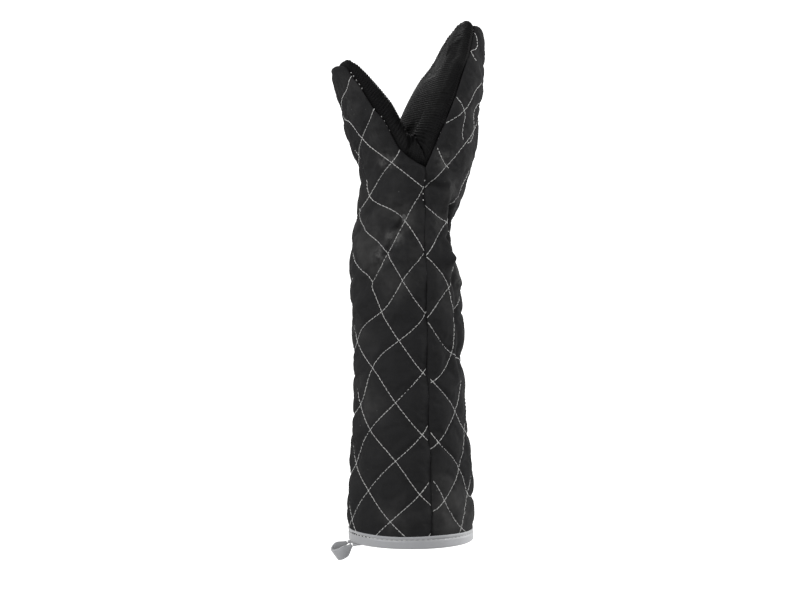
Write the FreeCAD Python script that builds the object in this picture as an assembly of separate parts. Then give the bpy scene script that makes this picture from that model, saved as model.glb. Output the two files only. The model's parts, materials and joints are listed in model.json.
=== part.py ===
"""Elbow-length puppet-style oven mitt.

The mitt stands on its cuff: +Z runs up the forearm to the fingertips, -X is the thumb
side, +X is the back of the fingers, and the two long side seams lie at -Y and +Y. The
origin is the centre of the cuff opening, in the plane of the hem. Lengths are in
millimetres and angles in degrees.

The quilted wall is three layers: a cover, a padding and a lining. Each layer is the space
between two copies of one outer form, drawn in by different amounts. The form is a sleeve
with two jaws on top, one for the fingers and one for the thumb. Each layer is then divided
along the sewn seams, and across the two lines where the mitt flexes.
"""
import FreeCAD, Part
import math
import os

Vector = FreeCAD.Vector

# Wall layers, from the outside in
COVER_THICKNESS = 0.8
PADDING_THICKNESS = 4.2
LINING_THICKNESS = 0.6
LAYER_GAP = 0.3
WALL_THICKNESS = COVER_THICKNESS + PADDING_THICKNESS + LINING_THICKNESS + 2 * LAYER_GAP

# Cuff
CUFF_RADIUS = 49.3
CUFF_STRAIGHT = 12.0
BINDING_HEIGHT = 9.6
BINDING_THICKNESS = 0.8
BINDING_CLEARANCE = 0.4
BINDING_STITCH_HEIGHT = 7.6

# Places that the seams and joints are drawn from, as (x, z) in the plane between the seams
MOUTH_CORNER = (-4.0, 298.0)
THUMB_BASE = (-19.0, 304.0)
FLEX_AXIS = (-8.0, 323.0)
FINGER_LEAN = 23.6
THUMB_LEAN = 28.7
FINGER_LENGTH = 133.0
THUMB_LENGTH = 90.0

# Gaps
SEAM_GAP = 0.6
FLEX_GAP = 0.4

# Sewing
THREAD_DIAMETER = 0.4
TOP_THREAD_DIAMETER = 0.6
STITCH_LENGTH = 3.0
STITCH_PITCH = 4.2
SEAM_PITCH = 8.0
SEAM_THREAD_DEPTH = 2.6

# Hanging loop of tape
TAPE_WIDTH = 10.0
TAPE_THICKNESS = 1.3
TAPE_ROOT_WIDTH = 1.6
LOOP_OUTER_RADIUS = 7.0
LOOP_LENGTH = 17.0
LOOP_TAPER = 11.0
LOOP_DROOP = 35.0
LOOP_HINGE_OFFSET = 1.6
LOOP_ROOT_START = 0.7
TAIL_LENGTH = 6.6
TAIL_WIDTH = 5.0
TAIL_GAP = 0.15
BAR_TACK_STITCHES = 7

# Sleeve sections: height, half breadth across the seams, depth to the back, depth to the thumb side
SLEEVE_ROWS = [
    (0.0, CUFF_RADIUS, CUFF_RADIUS, CUFF_RADIUS),
    (CUFF_STRAIGHT, CUFF_RADIUS, CUFF_RADIUS, CUFF_RADIUS),
    (50.0, 49.5, 49.4, 48.8),
    (95.0, 47.5, 44.2, 46.5),
    (136.0, 46.0, 40.6, 45.5),
    (185.0, 45.5, 40.7, 48.0),
    (217.0, 45.0, 36.0, 49.0),
    (250.0, 44.0, 30.5, 45.6),
    (274.0, 45.5, 37.0, 42.8),
    (MOUTH_CORNER[1], 48.0, 48.0, 42.0),
]

# Jaw sections: distance along the jaw as a share of its length, half breadth, depth of the
# back of the hand side, depth of the grip side
FINGER_ROWS = [
    (-0.09, 42.0, 43.0, 7.4),
    (0.0, 45.5, 44.5, 7.6),
    (0.14, 48.5, 45.8, 12.3),
    (0.30, 50.0, 41.5, 15.0),
    (0.45, 49.5, 34.5, 14.6),
    (0.60, 44.5, 28.0, 11.2),
    (0.75, 36.5, 25.0, 9.0),
    (0.88, 28.0, 20.5, 8.4),
    (0.96, 19.0, 16.0, 7.8),
    (1.0, 10.0, 10.5, 7.2),
]
THUMB_ROWS = [
    (-0.13, 39.0, 24.0, 8.0),
    (0.0, 41.0, 21.5, 13.0),
    (0.17, 42.0, 17.2, 18.0),
    (0.37, 39.0, 16.0, 19.2),
    (0.56, 34.0, 13.0, 19.2),
    (0.73, 28.0, 9.8, 15.4),
    (0.86, 21.5, 9.2, 13.0),
    (0.95, 15.0, 8.6, 10.5),
    (1.0, 9.0, 7.8, 8.0),
]
SECTION_POINTS = 16

# Extent of the solids that cut the layers apart
FAR = 600.0
CUFF_OVERRUN = 20.0


def direction(lean):
    """The way a jaw points, in (x, z), for its lean from upright towards +X."""
    angle = math.radians(lean)
    return (math.sin(angle), math.cos(angle))


def outward(lean):
    """The way from a jaw's seam to the back of its fingers or thumb, in (x, z)."""
    along = direction(lean)
    side = 1.0 if lean > 0 else -1.0
    return (side * along[1], -side * along[0])


def point(base, *steps):
    """A point in (x, z), from a base and any number of (distance, direction) steps."""
    x, z = base
    for distance, way in steps:
        x += distance * way[0]
        z += distance * way[1]
    return (x, z)


def section(centre, way, half_breadth, out_depth, in_depth):
    """A closed smooth section across the seams, deeper on one side than on the other."""
    points = []
    for i in range(SECTION_POINTS):
        angle = 2 * math.pi * i / SECTION_POINTS
        depth = out_depth if math.cos(angle) > 0 else in_depth
        x, z = point(centre, (depth * math.cos(angle), way))
        points.append(Vector(x, half_breadth * math.sin(angle), z))
    curve = Part.BSplineCurve()
    curve.interpolate(Points=points, PeriodicFlag=True)
    return Part.Wire([curve.toShape()])


def sleeve(inset, bottom):
    """The sleeve's outer form, drawn in by inset and open down to bottom."""
    wires = []
    for height, half_breadth, back, thumb in [(bottom,) + SLEEVE_ROWS[0][1:]] + SLEEVE_ROWS[1:]:
        top = MOUTH_CORNER[1] - inset
        height = min(height, top)
        wires.append(section((0.0, height), (1.0, 0.0), half_breadth - inset, back - inset, thumb - inset))
    return Part.makeLoft(wires, True, False, False)


def jaw(rows, base, lean, length, inset):
    """One jaw's outer form, drawn in by inset."""
    wires = []
    for share, half_breadth, out_depth, in_depth in rows:
        reach = share * (length - inset) if share > 0 else share * length
        centre = point(base, (reach, direction(lean)))
        half_breadth, out_depth, in_depth = half_breadth - inset, out_depth - inset, in_depth - inset
        wires.append(section(centre, outward(lean), half_breadth, out_depth, in_depth))
    return Part.makeLoft(wires, True, False, False)


def form(inset, bottom):
    """The whole mitt's outer form, drawn in by inset."""
    fingers = jaw(FINGER_ROWS, MOUTH_CORNER, FINGER_LEAN, FINGER_LENGTH, inset)
    thumb = jaw(THUMB_ROWS, THUMB_BASE, -THUMB_LEAN, THUMB_LENGTH, inset)
    return sleeve(inset, bottom).fuse([fingers, thumb])


def prism(corners):
    """A slab from an (x, z) outline, running across the whole mitt."""
    outline = [Vector(x, -FAR / 2, z) for x, z in corners]
    face = Part.Face(Part.makePolygon(outline + outline[:1]))
    return face.extrude(Vector(0, FAR, 0))


def slot(start, end, width):
    """A thin slab along the line from start to end, to leave a gap there."""
    run = math.hypot(end[0] - start[0], end[1] - start[1])
    along = ((end[0] - start[0]) / run, (end[1] - start[1]) / run)
    across = (along[1], -along[0])
    half = width / 2
    return prism([
        point(start, (half, across)),
        point(end, (half, across)),
        point(end, (-half, across)),
        point(start, (-half, across)),
    ])


def regions():
    """What each region of the wall is cut from, by the name of its panel."""
    finger_way, finger_out = direction(FINGER_LEAN), outward(FINGER_LEAN)
    thumb_way, thumb_out = direction(-THUMB_LEAN), outward(-THUMB_LEAN)
    bottom = (0.0, -FAR / 4)
    back_corner = (FAR / 2, -FAR / 4)
    thumb_corner = (-FAR / 2, -FAR / 4)
    seam_bend = (0.0, MOUTH_CORNER[1] - 28.0)
    finger_far = point(MOUTH_CORNER, (FAR / 2, finger_way))
    thumb_seam = point(THUMB_BASE, (FAR / 2, thumb_way))
    finger_cut = point(FLEX_AXIS, (FAR / 2, finger_out))
    thumb_cut = point(FLEX_AXIS, (FAR / 2, thumb_out))
    above = (FLEX_AXIS[0], FAR)
    # where each flex line crosses its jaw's seam
    lift = (FLEX_AXIS[0] - MOUTH_CORNER[0], FLEX_AXIS[1] - MOUTH_CORNER[1])
    finger_knee = point(MOUTH_CORNER, (lift[0] * finger_way[0] + lift[1] * finger_way[1], finger_way))
    lift = (FLEX_AXIS[0] - THUMB_BASE[0], FLEX_AXIS[1] - THUMB_BASE[1])
    thumb_knee = point(THUMB_BASE, (lift[0] * thumb_way[0] + lift[1] * thumb_way[1], thumb_way))
    gaps = [
        slot(bottom, seam_bend, SEAM_GAP),
        slot(seam_bend, MOUTH_CORNER, SEAM_GAP),
        slot(MOUTH_CORNER, finger_far, SEAM_GAP),
        slot(MOUTH_CORNER, THUMB_BASE, SEAM_GAP),
        slot(THUMB_BASE, thumb_seam, SEAM_GAP),
        slot(FLEX_AXIS, finger_cut, FLEX_GAP),
        slot(FLEX_AXIS, thumb_cut, FLEX_GAP),
        slot(FLEX_AXIS, above, FLEX_GAP),
    ]
    outlines = {
        "back_panel": [bottom, back_corner, finger_cut, finger_knee, MOUTH_CORNER, seam_bend],
        "thumb_panel": [
            bottom, seam_bend, MOUTH_CORNER, THUMB_BASE, thumb_knee, thumb_cut, thumb_corner,
        ],
        "mouth_fold": [MOUTH_CORNER, finger_knee, FLEX_AXIS, thumb_knee, THUMB_BASE],
        "finger_back": [finger_knee, finger_cut, (FAR / 2, FAR), finger_far],
        "finger_grip": [finger_knee, finger_far, above, FLEX_AXIS],
        "thumb_back": [thumb_knee, thumb_seam, (-FAR / 2, FAR / 2), thumb_cut],
        "thumb_grip": [thumb_knee, FLEX_AXIS, above, thumb_seam],
    }
    return {name: prism(corners).cut(gaps) for name, corners in outlines.items()}


def largest_solids(shape):
    """The shape without loose slivers."""
    solids = [solid for solid in shape.Solids if solid.Volume > 1.0]
    return Part.makeCompound(solids) if len(solids) != 1 else solids[0]


def wall_layers():
    """The three layers of the wall, whole, by name and from the outside in."""
    layers = {}
    inset = 0.0
    bottom = BINDING_THICKNESS + LAYER_GAP
    for name, thickness in [
        ("cover", COVER_THICKNESS),
        ("padding", PADDING_THICKNESS),
        ("lining", LINING_THICKNESS),
    ]:
        outer = form(inset, bottom)
        inner = form(inset + thickness, -CUFF_OVERRUN)
        layers[name] = outer.cut(inner)
        inset += thickness + LAYER_GAP
    return layers


def wall_nodes():
    """Every panel of every layer, as its own solid."""
    nodes = {}
    places = regions()
    for layer, shape in wall_layers().items():
        for panel, place in places.items():
            nodes[panel + "_" + layer] = largest_solids(shape.common(place))
    return nodes


def ring(inner_radius, outer_radius, low, high):
    """A plain ring about the forearm's line."""
    outer = Part.makeCylinder(outer_radius, high - low, Vector(0, 0, low))
    inner = Part.makeCylinder(inner_radius, high - low, Vector(0, 0, low))
    return outer.cut(inner)


def binding_radii():
    """The folded binding's inner wall, inner fold, outer fold and outer wall."""
    inner_fold = CUFF_RADIUS - WALL_THICKNESS - BINDING_CLEARANCE
    outer_fold = CUFF_RADIUS + BINDING_CLEARANCE
    return inner_fold - BINDING_THICKNESS, inner_fold, outer_fold, outer_fold + BINDING_THICKNESS


def cuff_binding():
    """Tape folded over the raw edge of the cuff, open at the top."""
    inner_wall, inner_fold, outer_fold, outer_wall = binding_radii()
    whole = ring(inner_wall, outer_wall, 0.0, BINDING_HEIGHT)
    return whole.cut(ring(inner_fold, outer_fold, BINDING_THICKNESS, BINDING_HEIGHT))


def binding_thread():
    """The row of top stitches round the binding."""
    radius = binding_radii()[3] + TOP_THREAD_DIAMETER / 2 + LAYER_GAP
    count = round(2 * math.pi * radius / STITCH_PITCH)
    stitches = []
    for i in range(count):
        angle = 2 * math.pi * i / count
        across = Vector(-math.sin(angle), math.cos(angle), 0)
        middle = Vector(radius * math.cos(angle), radius * math.sin(angle), BINDING_STITCH_HEIGHT)
        start = middle - across * (STITCH_LENGTH / 2)
        stitches.append(Part.makeCylinder(TOP_THREAD_DIAMETER / 2, STITCH_LENGTH, start, across))
    return Part.makeCompound(stitches)


def half_breadth_at(height):
    """The sleeve's half breadth at a height, between its sections."""
    for low, high in zip(SLEEVE_ROWS, SLEEVE_ROWS[1:]):
        if low[0] <= height <= high[0]:
            share = (height - low[0]) / (high[0] - low[0])
            return low[1] + share * (high[1] - low[1])
    return SLEEVE_ROWS[-1][1]


def side_seam_thread(side):
    """The stitches that close one side seam, lying in the seam's own gap."""
    stitches = []
    height = BINDING_HEIGHT + SEAM_PITCH
    while height < MOUTH_CORNER[1] - 36.0:
        y = side * (half_breadth_at(height) - SEAM_THREAD_DEPTH)
        start = Vector(0, y, height)
        stitches.append(Part.makeCylinder(THREAD_DIAMETER / 2, STITCH_LENGTH, start))
        height += SEAM_PITCH
    return Part.makeCompound(stitches)


def loop_hinge():
    """The line that the hanging loop swings about, as a point on it."""
    return Vector(-binding_radii()[3] - LOOP_HINGE_OFFSET, 0, -LOOP_HINGE_OFFSET / 2)


def hanging_loop():
    """A tape bent into a U and set on edge, narrow where it is folded into the hem."""
    inner_radius = LOOP_OUTER_RADIUS - TAPE_THICKNESS
    bend = LOOP_LENGTH - LOOP_OUTER_RADIUS
    base = Vector(0, 0, -TAPE_WIDTH / 2)
    outer = Part.makeBox(bend, 2 * LOOP_OUTER_RADIUS, TAPE_WIDTH, base - Vector(bend, LOOP_OUTER_RADIUS, 0))
    inner = Part.makeBox(bend, 2 * inner_radius, TAPE_WIDTH, base - Vector(bend, inner_radius, 0))
    outer = outer.fuse(Part.makeCylinder(LOOP_OUTER_RADIUS, TAPE_WIDTH, base - Vector(bend, 0, 0)))
    inner = inner.fuse(Part.makeCylinder(inner_radius, TAPE_WIDTH, base - Vector(bend, 0, 0)))
    taper = prism([
        (-LOOP_ROOT_START, -TAPE_ROOT_WIDTH / 2),
        (-LOOP_TAPER, -TAPE_WIDTH / 2),
        (-2 * LOOP_LENGTH, -TAPE_WIDTH / 2),
        (-2 * LOOP_LENGTH, TAPE_WIDTH / 2),
        (-LOOP_TAPER, TAPE_WIDTH / 2),
        (-LOOP_ROOT_START, TAPE_ROOT_WIDTH / 2),
    ])
    loop = outer.cut(inner).common(taper).removeSplitter()
    loop.rotate(Vector(0, 0, 0), Vector(0, 1, 0), -LOOP_DROOP)
    loop.translate(loop_hinge())
    return loop


def tail_middle():
    """How far to each side of the middle the loop's tape ends lie."""
    return LOOP_OUTER_RADIUS - TAPE_THICKNESS / 2


def hanging_loop_tails():
    """The two ends of the tape, sewn flat under the hem."""
    outer_wall = binding_radii()[3]
    tails = []
    for side in (-1, 1):
        corner = Vector(-outer_wall, side * tail_middle() - TAIL_WIDTH / 2, -TAIL_GAP - TAPE_THICKNESS)
        tails.append(Part.makeBox(TAIL_LENGTH, TAIL_WIDTH, TAPE_THICKNESS, corner))
    return Part.makeCompound(tails)


def loop_bar_tack():
    """The close stitches that hold each tape end."""
    outer_wall = binding_radii()[3]
    z = -TAIL_GAP - TAPE_THICKNESS - THREAD_DIAMETER / 2 - LAYER_GAP
    stitches = []
    for side in (-1, 1):
        for i in range(BAR_TACK_STITCHES):
            x = -outer_wall + TAIL_LENGTH / 2 + (i - (BAR_TACK_STITCHES - 1) / 2) * 2 * THREAD_DIAMETER
            start = Vector(x, side * tail_middle() - STITCH_LENGTH / 2, z)
            stitches.append(Part.makeCylinder(THREAD_DIAMETER / 2, STITCH_LENGTH, start, Vector(0, 1, 0)))
    return Part.makeCompound(stitches)


def main():
    nodes = wall_nodes()
    nodes["cuff_binding"] = cuff_binding()
    nodes["binding_thread"] = binding_thread()
    nodes["near_seam_thread"] = side_seam_thread(-1)
    nodes["far_seam_thread"] = side_seam_thread(1)
    nodes["hanging_loop"] = hanging_loop()
    nodes["hanging_loop_tails"] = hanging_loop_tails()
    nodes["loop_bar_tack"] = loop_bar_tack()
    os.makedirs("parts", exist_ok=True)
    for name, shape in nodes.items():
        shape.exportStep("parts/" + name + ".step")
        box = shape.BoundBox
        print(
            f"{name:24s} solids {len(shape.Solids):3d} valid {shape.isValid()} "
            f"volume {shape.Volume / 1000:8.2f} cm3 "
            f"x {box.XMin:7.1f} {box.XMax:7.1f} y {box.YMin:7.1f} {box.YMax:7.1f} "
            f"z {box.ZMin:7.1f} {box.ZMax:7.1f}"
        )


main()
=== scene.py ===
"""The looks of an elbow-length, puppet-style oven mitt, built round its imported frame.

Each sewn panel is a closed padded shell. Its outside is a grid laid over a smooth form,
puffed between its quilting lines and slackened by a short cloth simulation, and its inside
is the same form drawn in by the thickness of the wall. Lengths are in metres, apart from
the tables that say millimetres.
"""
import json
import math

import bmesh
import bpy
import numpy as np
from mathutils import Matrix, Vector


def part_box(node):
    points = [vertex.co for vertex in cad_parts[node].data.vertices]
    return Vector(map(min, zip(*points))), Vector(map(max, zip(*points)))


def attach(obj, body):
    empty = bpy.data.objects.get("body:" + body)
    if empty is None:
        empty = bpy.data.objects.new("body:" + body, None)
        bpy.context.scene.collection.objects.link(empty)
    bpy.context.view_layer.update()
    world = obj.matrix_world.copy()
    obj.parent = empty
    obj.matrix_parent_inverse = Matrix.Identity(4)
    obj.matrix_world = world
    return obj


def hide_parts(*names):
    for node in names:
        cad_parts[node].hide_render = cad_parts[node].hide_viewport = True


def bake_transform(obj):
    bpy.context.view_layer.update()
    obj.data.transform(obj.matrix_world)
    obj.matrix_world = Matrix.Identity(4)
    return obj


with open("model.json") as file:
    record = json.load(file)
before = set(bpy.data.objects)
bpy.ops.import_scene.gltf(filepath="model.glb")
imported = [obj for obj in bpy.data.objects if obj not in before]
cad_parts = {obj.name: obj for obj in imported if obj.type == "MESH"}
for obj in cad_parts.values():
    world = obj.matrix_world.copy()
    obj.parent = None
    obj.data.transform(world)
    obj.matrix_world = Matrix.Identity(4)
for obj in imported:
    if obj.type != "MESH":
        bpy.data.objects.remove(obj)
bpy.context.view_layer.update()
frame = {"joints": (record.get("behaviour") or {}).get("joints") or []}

bl_info = {
    "name": "Quilted Oven Mitt",
    "version": (1, 0, 0),
    "blender": (4, 5, 0),
    "location": "3D View > Sidebar > Mitt",
    "description": "Builds the padded panels, binding, loop and stitching of an oven mitt",
    "category": "Mesh",
}

MM = 0.001
JOINTS = {joint["name"]: joint for joint in frame["joints"]}

# The simulated cloth's settings
CLOTH = {
    "quality": 5, "mass": 0.25, "tension_stiffness": 30, "compression_stiffness": 12,
    "shear_stiffness": 8, "bending_stiffness": 0.6, "use_pressure": True,
}
CLOTH_STRIDE = 2  # points of the grid to each point of the simulated cloth

# A stitch's rings, as (place along it, radius, lift), in shares of its length, half its
# thickness and its thickness. It dips into the cloth at both ends.
STITCH_RINGS = ((-0.5, 0.5, -0.42), (-0.38, 0.9, 0.02), (0, 1, 0.2), (0.38, 0.9, 0.02), (0.5, 0.5, -0.42))
STITCH_SIDES = 6

# The outline of a tape's cross section, as shares of half its width and half its thickness
TAPE_OUTLINE = (
    (-1, -0.55), (-0.94, -1), (0, -1.12), (0.94, -1), (1, -0.55),
    (1, 0.55), (0.94, 1), (0, 1.12), (-0.94, 1), (-1, 0.55),
)

# The stage's lamps, as (name, place, size, power)
LAMPS = (
    ("key", (-1.2, -0.55, 1.15), 0.5, 40.0),
    ("fill", (1.3, -0.25, 0.5), 0.6, 33.0),
    ("rim", (0.3, 1.3, 0.9), 0.9, 16.0),
)
LAMP_AIM = (0, 0, 0.2)
CAMERA_TURN = math.radians(20)
CAMERA_AIM = (-0.0089, 0.193)  # to the camera's right of the mitt's axis, and up
CAMERA_AWAY = 1.1
CAMERA_LENS = 61.1

# Rows across each panel, in millimetres, as (seam x, seam z, half breadth, middle x, middle z)
BACK_ROWS = [
    (0, 2, 49.2, 49.2, 2), (-0.2, 15, 49.8, 49.4, 15), (-0.9, 50, 49.4, 49.2, 50),
    (-1.9, 95, 47.5, 44.4, 95), (-2.6, 136, 46, 40.8, 136), (-3.0, 185, 45.5, 40.7, 183),
    (-3.4, 217, 45, 36.4, 213), (-4.0, 243, 44.2, 30.8, 237), (-4.7, 262, 44.4, 30.4, 253),
    (-5.0, 280, 45.8, 35.2, 268), (-4.6, 296, 47.5, 42, 281), (0, 307, 48.5, 45.8, 291),
    (5, 318.5, 49.3, 48.6, 303), (11, 332, 50, 51.2, 318), (19, 350.5, 49.6, 53.2, 338),
    (27, 369, 45, 55.6, 357), (35.8, 387, 37.5, 58.8, 377), (43.0, 402, 28.5, 61.2, 394),
    (48.0, 411.5, 21, 61.8, 405.5), (50.8, 416.0, 14, 60.4, 413.4), (52.2, 417.8, 7, 57.4, 417.8),
    (52.5, 418.2, 0.8, 53.6, 418.6),
]
THUMB_ROWS = [
    (0, 2, 49.2, -49.4, 2), (-0.2, 15, 49.8, -50.4, 15), (-0.9, 50, 49.4, -48.8, 50),
    (-1.9, 95, 47.5, -46.2, 95), (-2.6, 136, 46, -45, 136), (-3.0, 185, 45.5, -47.6, 187),
    (-3.4, 217, 45, -48.6, 218), (-4.0, 243, 44.2, -46.3, 243), (-4.7, 262, 44.4, -42.6, 262),
    (-5.0, 280, 45.8, -40.6, 279), (-4.6, 296, 47.5, -39.8, 291), (-12, 300.4, 45.6, -40.2, 299),
    (-18.5, 304.8, 44.2, -41.2, 306), (-25, 312, 42.6, -44.4, 315), (-31, 322, 40.5, -48.6, 326),
    (-38, 335, 38, -52.6, 338.5), (-44, 344.5, 34, -55.4, 348.5), (-49.5, 355, 29.5, -60, 359),
    (-54, 365, 23.5, -63.6, 368), (-57.6, 373, 17, -64.9, 373.6), (-59.8, 377.4, 10.5, -64.6, 377.8),
    (-60.8, 379, 0.8, -62.6, 378.8),
]
FINGER_GRIP_ROWS = [
    (-4.6, 296, 47.5, -8, 319.5), (0, 307, 48.5, -7.8, 322.5), (5, 318.5, 49.3, -5.6, 328),
    (11, 332, 50, -1, 339), (19, 350.5, 49.6, 6.6, 356), (27, 369, 45, 16.5, 374),
    (35.8, 387, 37.5, 27.8, 391.5), (43.0, 402, 28.5, 35.2, 406.2), (48.0, 411.5, 21, 40, 415),
    (50.8, 416.0, 14, 44.4, 420.2), (52.2, 417.8, 7, 48.2, 421.6), (52.5, 418.2, 0.8, 51.4, 419.8),
]
THUMB_GRIP_ROWS = [
    (-4.6, 296, 47.5, -8, 319.5), (-12, 300.4, 45.6, -9.4, 323), (-18.5, 304.8, 44.2, -11.4, 328),
    (-25, 312, 42.6, -14, 334.5), (-31, 322, 40.5, -17.2, 342), (-38, 335, 38, -22.5, 352),
    (-44, 344.5, 34, -28.8, 359.6), (-49.5, 355, 29.5, -37, 367.6), (-54, 365, 23.5, -45, 375.2),
    (-57.6, 373, 17, -51.4, 380.2), (-59.8, 377.4, 10.5, -56.8, 382.6), (-60.8, 379, 0.8, -60, 380.8),
]

# Folds pressed into a panel by wear: (depth, width, points as (distance from the near seam, height)), mm
BACK_FOLDS = [
    (3.0, 4.2, [(20, 286), (21, 250), (20, 225)]),
    (2.2, 4.6, [(20, 225), (22, 200), (24, 165), (27, 130)]),
    (-2.4, 4.2, [(28, 222), (31, 185), (34, 140)]),
    (-6.0, 4.2, [(30, 266), (31, 254), (29, 243)]),
    (-2.8, 3.2, [(5, 284), (17, 281)]),
    (-2.6, 3.4, [(22, 243), (33, 234)]),
    (2.8, 5.0, [(23, 225), (40, 207)]),
    (2.2, 9.0, [(34, 279), (40, 275)]),
    (-2.2, 5.0, [(58, 262), (86, 256), (104, 262)]),
    (1.0, 7.0, [(60, 246), (92, 240)]),
    (-2.2, 4.0, [(112, 268), (126, 248)]),
    (-1.0, 7.0, [(50, 225), (96, 214)]),
    (-1.4, 7.0, [(40, 150), (70, 141)]),
    (-1.2, 8.0, [(20, 60), (52, 68)]),
]
THUMB_FOLDS = [
    (-2.6, 3.0, [(17, 258), (32, 229), (48, 207)]),
    (2.4, 4.5, [(25, 254), (42, 225)]),
    (-3.6, 7.0, [(20, 260), (29, 247), (53, 208)]),
    (-1.6, 5.0, [(46, 268), (62, 250)]),
    (1.6, 7.0, [(34, 226), (60, 188)]),
    (-1.8, 6.0, [(96, 262), (112, 236), (126, 224)]),
    (-1.5, 7.0, [(70, 292), (92, 286)]),
    (-1.3, 8.0, [(24, 176), (48, 158)]),
    (-1.2, 8.0, [(80, 120), (108, 104)]),
]


# Places the quilting lines are known to pass, as (distance from the middle line towards the near
# seam, height, and how many lines of each family lie below), mm and counts. A place with two
# whole counts is a crossing.
BACK_MARKS = [
    (67.8, 36.6, 1, 1), (67.9, 82, 2, 2), (66.5, 129.3, 3, 3), (70.4, 178.1, 4, 4),
    (64.5, 227.3, 5, 5), (66.6, 274, 6.12, 5.88), (49.7, 13.5, 1, 0), (48.2, 60.2, 2, 1),
    (46.6, 105.1, 3, 2), (47.9, 151.2, 4, 3), (48.9, 202.3, 5, 4), (42.5, 254.4, 6, 5),
    (60.3, 297.7, 7, 6), (58.2, 341.6, 8, 7), (44.2, 393.2, 9, 8), (38.5, 39, 2, 0),
    (32.6, 89.3, 3, 1), (41.7, 180.7, 5, 3), (48, 316.6, 8, 6), (73.7, 311.8, 7, 6.66),
    (73.2, 330.2, 7.4, 7), (67, 353.3, 8, 7.6), (36.7, 381.6, 9, 7.7), (40.8, 361.6, 8.4, 7),
    (31.1, 407.6, 9.35, 8.02), (27.4, 397.6, 9.3, 7.8), (49.4, 370.8, 8.75, 7.4),
]
THUMB_MARKS = [
    (63.1, 279.9, 6, 6), (69, 230.7, 5, 5), (69.4, 182.4, 4, 4), (65.2, 136.3, 3, 3),
    (66.2, 88.2, 2, 2), (67, 42.3, 1, 1), (37.6, 299.7, 7, 6), (49.3, 254.6, 6, 5),
    (51.5, 208.1, 5, 4), (46.7, 161.2, 4, 3), (43.8, 113.1, 3, 2), (46.3, 67.8, 2, 1),
    (44.6, 20.8, 1, 0), (11.1, 320.6, 8, 6), (11.6, 275.3, 7, 5), (37.8, 229.3, 6, 4),
    (33.1, 183.8, 5, 3), (21.5, 139.7, 4, 2), (20.9, 91, 3, 1), (22.7, 43.5, 2, 0),
    (-22.7, 343.7, 9, 6), (22.5, 207.1, 6, 3), (-0.6, 160.1, 5, 2), (5.6, 109.8, 4, 1),
    (2.8, 62.8, 3, 0), (0, 18, 2, -1), (21.3, 366.3, 9, 6.8), (37, 339.9, 8, 6.7),
    (48.5, 308.8, 7, 6.3), (-3, 354.2, 9, 6.15), (29.7, 354.6, 8.5, 6.8), (7.5, 369.8, 9.35, 6.6),
    (15.5, 371.1, 9.25, 6.85),
]


# ---------------------------------------------------------------- grids and meshes

def smooth_rows(rows, count):
    """Rows resampled evenly along the panel, on a curve through the given ones."""
    keys = np.array(rows, float)
    middle = (keys[:, :2] + keys[:, 3:]) / 2
    run = np.concatenate([[0], np.cumsum(np.linalg.norm(np.diff(middle, axis=0), axis=1))])
    at = np.linspace(0, run[-1], count)
    slope = np.gradient(keys, run, axis=0)
    k = np.clip(np.searchsorted(run, at, side="right") - 1, 0, len(run) - 2)
    step = (run[k + 1] - run[k])[:, None]
    t = ((at - run[k]) / step[:, 0])[:, None]
    blend = [2 * t**3 - 3 * t**2 + 1, t**3 - 2 * t**2 + t, 3 * t**2 - 2 * t**3, t**3 - t**2]
    out = blend[0] * keys[k] + blend[1] * step * slope[k]
    out = out + blend[2] * keys[k + 1] + blend[3] * step * slope[k + 1]
    out[:, 2] = np.maximum(out[:, 2], 0.5)
    return out * MM


def form_grid(rows, across, inset=0.0):
    """Points over a panel's smooth form, as (row, column, xyz), from the -Y seam to the +Y seam."""
    seam, breadth, middle = rows[:, :2], rows[:, 2], rows[:, 3:]
    least = 0.12  # share of its size that a form keeps, however far it is inset
    reach = middle - seam
    depth = np.linalg.norm(reach, axis=1, keepdims=True)
    reach = reach / depth * np.maximum(depth - inset, least * depth)
    breadth = np.maximum(breadth - inset, least * breadth)
    angle = np.linspace(-math.pi / 2, math.pi / 2, across)
    points = np.empty((len(rows), across, 3))
    points[:, :, 0] = seam[:, None, 0] + reach[:, None, 0] * np.cos(angle)
    points[:, :, 2] = seam[:, None, 1] + reach[:, None, 1] * np.cos(angle)
    points[:, :, 1] = breadth[:, None] * np.sin(angle)
    return points


def grid_normals(points, outward):
    """Unit normals of a grid, on the side that outward points to."""
    along = np.gradient(points, axis=0)
    over = np.gradient(points, axis=1)
    normal = np.cross(along, over)
    normal /= np.maximum(np.linalg.norm(normal, axis=2, keepdims=True), 1e-12)
    if np.sum(normal[len(points) // 3, points.shape[1] // 2] * outward) < 0:
        normal = -normal
    return normal


def flat_lengths(points):
    """Each point's place on the flat cloth: how far from the near seam, and how far up from the hem."""
    across = np.linalg.norm(np.diff(points, axis=1), axis=2)
    across = np.concatenate([np.zeros((len(points), 1)), np.cumsum(across, axis=1)], axis=1)
    up = np.linalg.norm(np.diff(points, axis=0), axis=2)
    up = np.concatenate([np.zeros((1, points.shape[1])), np.cumsum(up, axis=0)], axis=0)
    return across, up + points[:1, :, 2]


def smoothstep(low, high, value):
    t = np.clip((value - low) / (high - low), 0, 1)
    return t * t * (3 - 2 * t)


def fold_depth(folds, across, height):
    """The push in or out of a panel's folds, from its flat places."""
    total = np.zeros_like(across)
    for depth, width, path in folds:
        near = np.full_like(across, 1e9)
        for (x0, z0), (x1, z1) in zip(path, path[1:]):
            run = np.array([x1 - x0, z1 - z0]) * MM
            t = ((across - x0 * MM) * run[0] + (height - z0 * MM) * run[1]) / (run @ run)
            t = np.clip(t, 0, 1)
            gap = np.hypot(across - x0 * MM - t * run[0], height - z0 * MM - t * run[1])
            near = np.minimum(near, gap)
        total += depth * MM * np.exp(-(near / (width * MM)) ** 2)
    return total


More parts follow.
